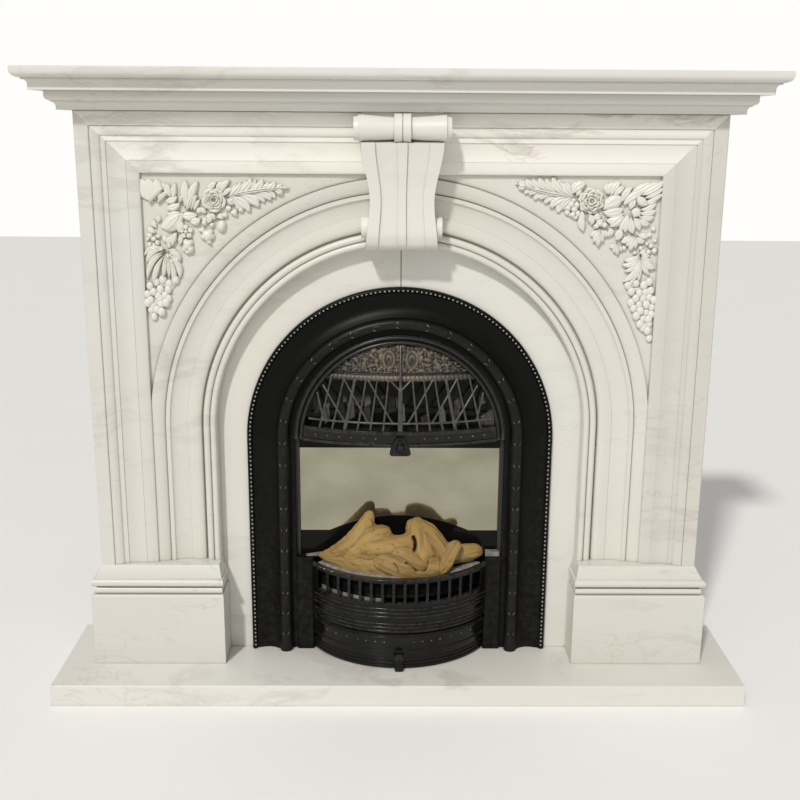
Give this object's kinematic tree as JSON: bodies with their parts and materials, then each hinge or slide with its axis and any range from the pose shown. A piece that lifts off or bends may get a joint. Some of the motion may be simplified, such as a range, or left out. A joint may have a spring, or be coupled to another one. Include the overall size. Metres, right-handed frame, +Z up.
{
  "type": "marble fireplace surround",
  "caption": "Marble chimneypiece with a round moulded arch, carved spandrels and a scrolled keystone, on a hearth, with an arched cast-iron insert and an electric log fire.",
  "frame": {"origin": "on the floor, at the middle of the line where the hearth meets the wall", "axes": "+Z up, the front faces -Y, the wall is the plane Y = 0, +X to the right as seen from the front"},
  "size_m": [1.372, 0.268, 1.211],
  "materials": {
    "marble": "honed white marble with faint grey veins",
    "rough_marble": "sawn offcuts",
    "zinc_steel": "zinc plated",
    "black_casting": "black satin",
    "bronzed_casting": "brownish bronze satin",
    "screen_glass": "half-silvered",
    "dark_steel": "heat-proof black paint",
    "grey_steel": "dull",
    "driftwood": "moulded and painted as driftwood",
    "white_plastic": "matt",
    "bright_steel": "bright",
    "motor_case": "dull",
    "black_plastic": "semi-gloss"
  },
  "bodies": {
    "surround": {"hearth_slab": "marble", "left_plinth": "marble", "right_plinth": "marble", "left_plinth_cap": "marble", "right_plinth_cap": "marble", "left_leg": "marble", "right_leg": "marble", "left_return": "marble", "right_return": "marble", "header": "marble", "left_arch_panel": "marble", "right_arch_panel": "marble", "left_carving": "marble", "right_carving": "marble", "keystone_console": "marble", "keystone_scroll": "marble", "bed_front": "marble", "bed_left_return": "marble", "bed_right_return": "marble", "cornice_front": "marble", "cornice_left_return": "marble", "cornice_right_return": "marble", "shelf_slab": "marble", "left_slip": "marble", "right_slip": "marble", "corner_blocks": "rough_marble", "wall_angles": "zinc_steel", "cast_arch": "black_casting", "left_jamb_plate": "black_casting", "right_jamb_plate": "black_casting", "hood_rim": "black_casting", "hood_rail": "black_casting", "hood_tracery": "black_casting", "hood_relief": "bronzed_casting", "hood_boss": "black_casting", "flame_screen": "screen_glass", "screen_trims": "dark_steel", "fire_box": "dark_steel", "fuel_tray": "grey_steel", "driftwood_bed": "driftwood", "side_log": "driftwood", "lamp_strip": "white_plastic", "rod_motor": "motor_case", "rod_bearing": "white_plastic", "blower_motor": "motor_case", "blower_bearing": "white_plastic", "switch_panel": "dark_steel", "cable_gland": "black_plastic"},
    "front_bars": {"front_bars": "black_casting"},
    "ash_pit_cover": {"ash_cover": "black_casting", "ash_knob": "black_casting"},
    "flicker": {"flicker_rod": "bright_steel"},
    "blower": {"blower_wheel": "grey_steel"},
    "flame_rocker": {"flame_switch": "black_plastic"},
    "heat_rocker": {"heat_switch": "black_plastic"}
  },
  "joints": [
    {"name": "bars_lift", "type": "slide", "parent": "surround", "child": "front_bars", "axis": [0, 0, 1], "range_m": [0, 0.04]},
    {"name": "cover_draw", "type": "slide", "parent": "surround", "child": "ash_pit_cover", "axis": [0, -1, 0], "range_m": [0, 0.06]},
    {"name": "flicker_spin", "type": "hinge", "parent": "surround", "child": "flicker", "pos_m": [0, -0.044, 0.166], "axis": [1, 0, 0], "continuous": true},
    {"name": "blower_spin", "type": "hinge", "parent": "surround", "child": "blower", "pos_m": [0, -0.122, 0.078], "axis": [1, 0, 0], "continuous": true},
    {"name": "flame_press", "type": "hinge", "parent": "surround", "child": "flame_rocker", "pos_m": [-0.018, -0.16, 0.082], "axis": [1, 0, 0], "range_deg": [-8, 8]},
    {"name": "heat_press", "type": "hinge", "parent": "surround", "child": "heat_rocker", "pos_m": [0.018, -0.16, 0.082], "axis": [1, 0, 0], "range_deg": [-8, 8]}
  ]
}
